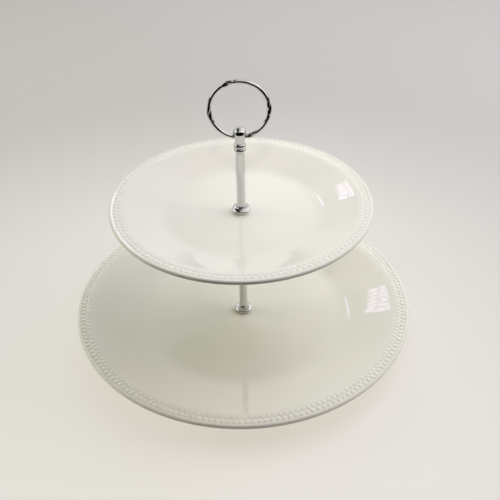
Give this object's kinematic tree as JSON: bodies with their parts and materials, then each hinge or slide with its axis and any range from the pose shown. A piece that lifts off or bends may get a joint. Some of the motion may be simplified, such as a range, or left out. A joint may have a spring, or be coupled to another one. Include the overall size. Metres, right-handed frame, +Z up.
{
  "type": "tiered cake stand",
  "caption": "Cake stand of a small and a large glazed plate with beaded borders, clamped on a chromed centre rod with rosette feet and a swinging ring handle.",
  "frame": {"origin": "on the centre rod's axis, in the plane that the lower plate's foot ring rests on", "axes": "+Z up along the rod, +X to the right along the ring handle's swing axis, -Y towards the viewer who faces the ring"},
  "size_m": [0.27, 0.27, 0.2125],
  "materials": {
    "glaze": "glossy cream glaze",
    "chrome": "polished plating",
    "steel": "plain zinc plating",
    "soft_plastic": "translucent soft plastic"
  },
  "bodies": {
    "stand": {"finial": "chrome", "finial_stud": "steel", "upper_rod": "chrome", "upper_rod_foot": "chrome", "upper_top_washer": "soft_plastic", "upper_plate": "glaze", "upper_under_washer": "soft_plastic", "support_washer": "steel", "joining_stud": "steel", "lower_rod": "chrome", "lower_rod_foot": "chrome", "lower_top_washer": "soft_plastic", "lower_plate": "glaze", "lower_under_washer": "soft_plastic", "base_washer": "steel", "base_screw": "steel"},
    "ring": {"ring_handle": "chrome"}
  },
  "joints": [
    {"name": "ring_swing", "type": "hinge", "parent": "stand", "child": "ring", "pos_m": [0, 0, 0.17], "axis": [1, 0, 0], "range_deg": [-173, 173]}
  ]
}
